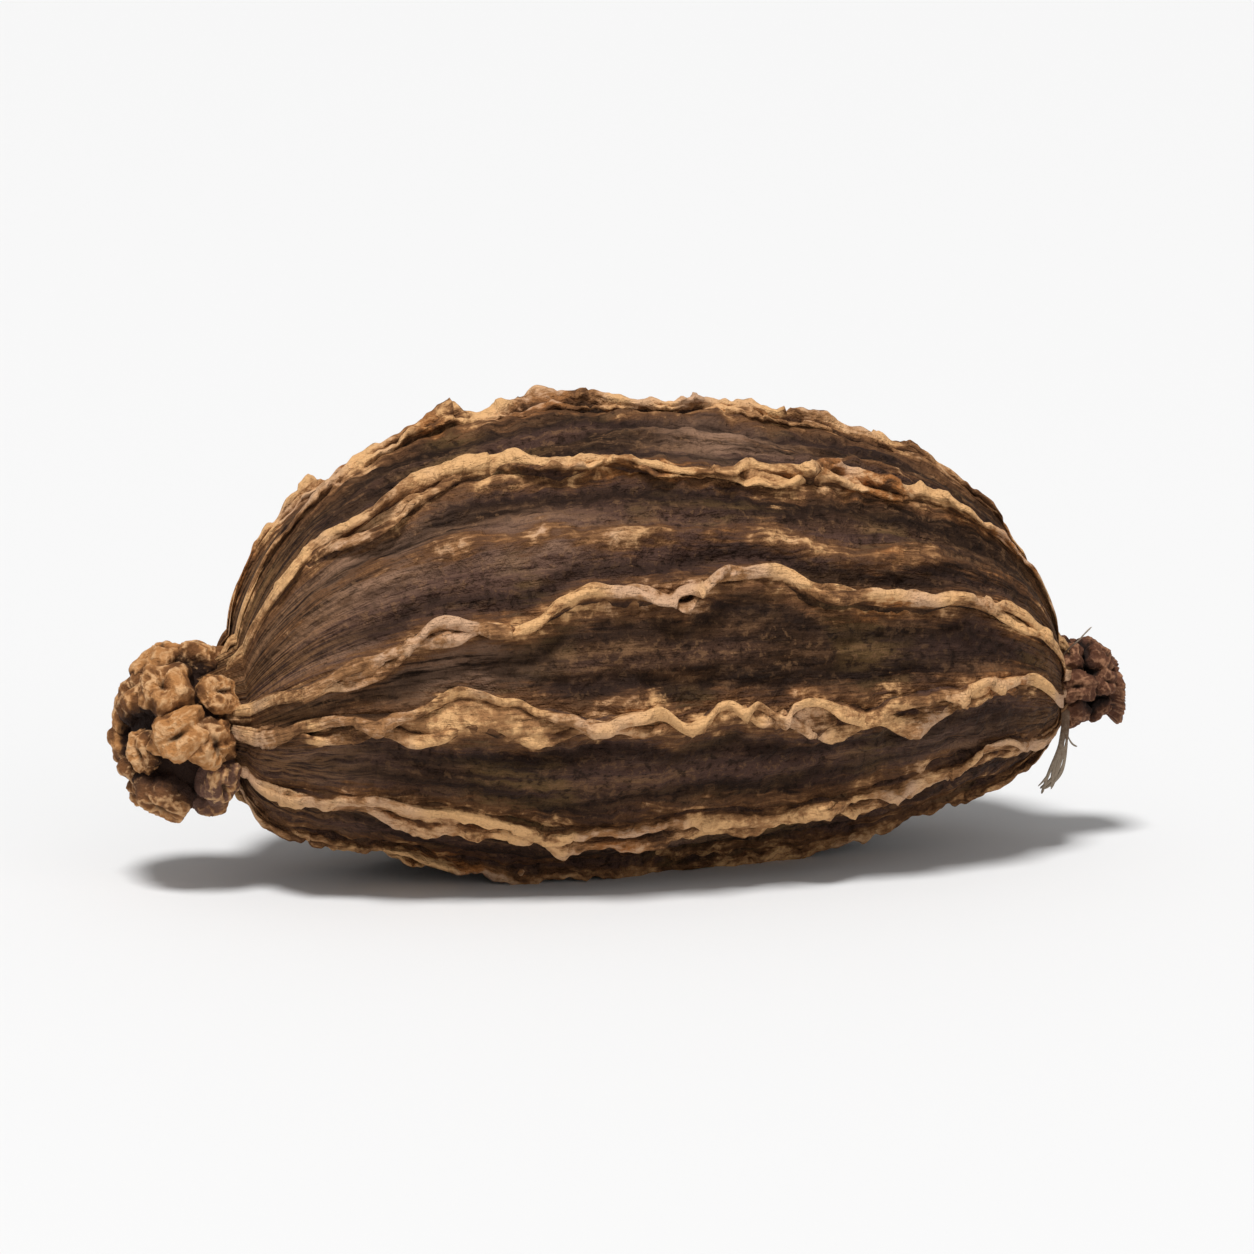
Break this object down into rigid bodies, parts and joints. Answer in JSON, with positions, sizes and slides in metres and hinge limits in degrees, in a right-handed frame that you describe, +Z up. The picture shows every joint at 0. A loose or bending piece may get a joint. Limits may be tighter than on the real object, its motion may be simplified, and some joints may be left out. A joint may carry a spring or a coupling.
{
  "type": "black cardamom pod",
  "caption": "Whole dried large-cardamom pod lying on its side: ovoid leathery husk with wavy pale ribs, a knobbed calyx crown at one end and a small stalk tuft at the other.",
  "frame": {"origin": "on the surface the pod lies on, under the middle of the pod's bounding box", "axes": "+X along the pod from the calyx crown to the stalk tuft, +Z up from the surface it lies on"},
  "size_m": [0.0252, 0.012, 0.0115],
  "materials": {
    "husk": "matte dry husk, dark brown between paler tan ribs"
  },
  "bodies": {
    "root": {"cardamom_pod": "husk"}
  },
  "joints": []
}
